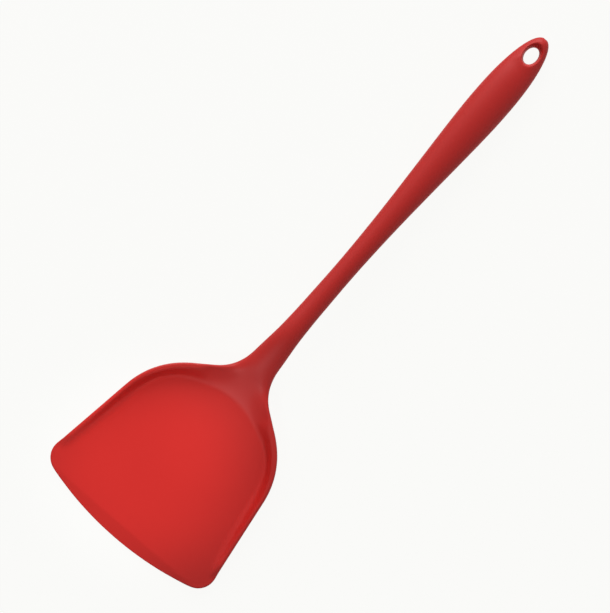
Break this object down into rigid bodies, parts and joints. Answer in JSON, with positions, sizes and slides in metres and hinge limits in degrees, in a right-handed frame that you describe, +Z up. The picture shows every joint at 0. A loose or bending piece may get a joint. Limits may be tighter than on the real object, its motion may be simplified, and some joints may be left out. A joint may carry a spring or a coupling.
{
  "type": "silicone spatula",
  "caption": "Wok turner with a wide shallow blade raised at its rim, a slim arched neck and a rounded grip with an oval hanging hole, in seamless silicone over a stiff core.",
  "frame": {"origin": "middle of the footprint, on the plane that the underside of the blade and the belly of the grip rest on", "axes": "+X from the end of the handle to the front edge of the blade, +Y across the blade, +Z up out of the hollow side"},
  "size_m": [0.34, 0.1074, 0.0209],
  "materials": {
    "silicone": "satin moulded silicone",
    "core_nylon": "moulded, glass filled",
    "tang_steel": "blanked strip",
    "rivet_steel": "formed head"
  },
  "bodies": {
    "root": {"silicone_skin": "silicone", "blade_core": "core_nylon", "handle_core": "core_nylon", "handle_tang": "tang_steel", "tang_rivets": "rivet_steel"}
  },
  "joints": []
}
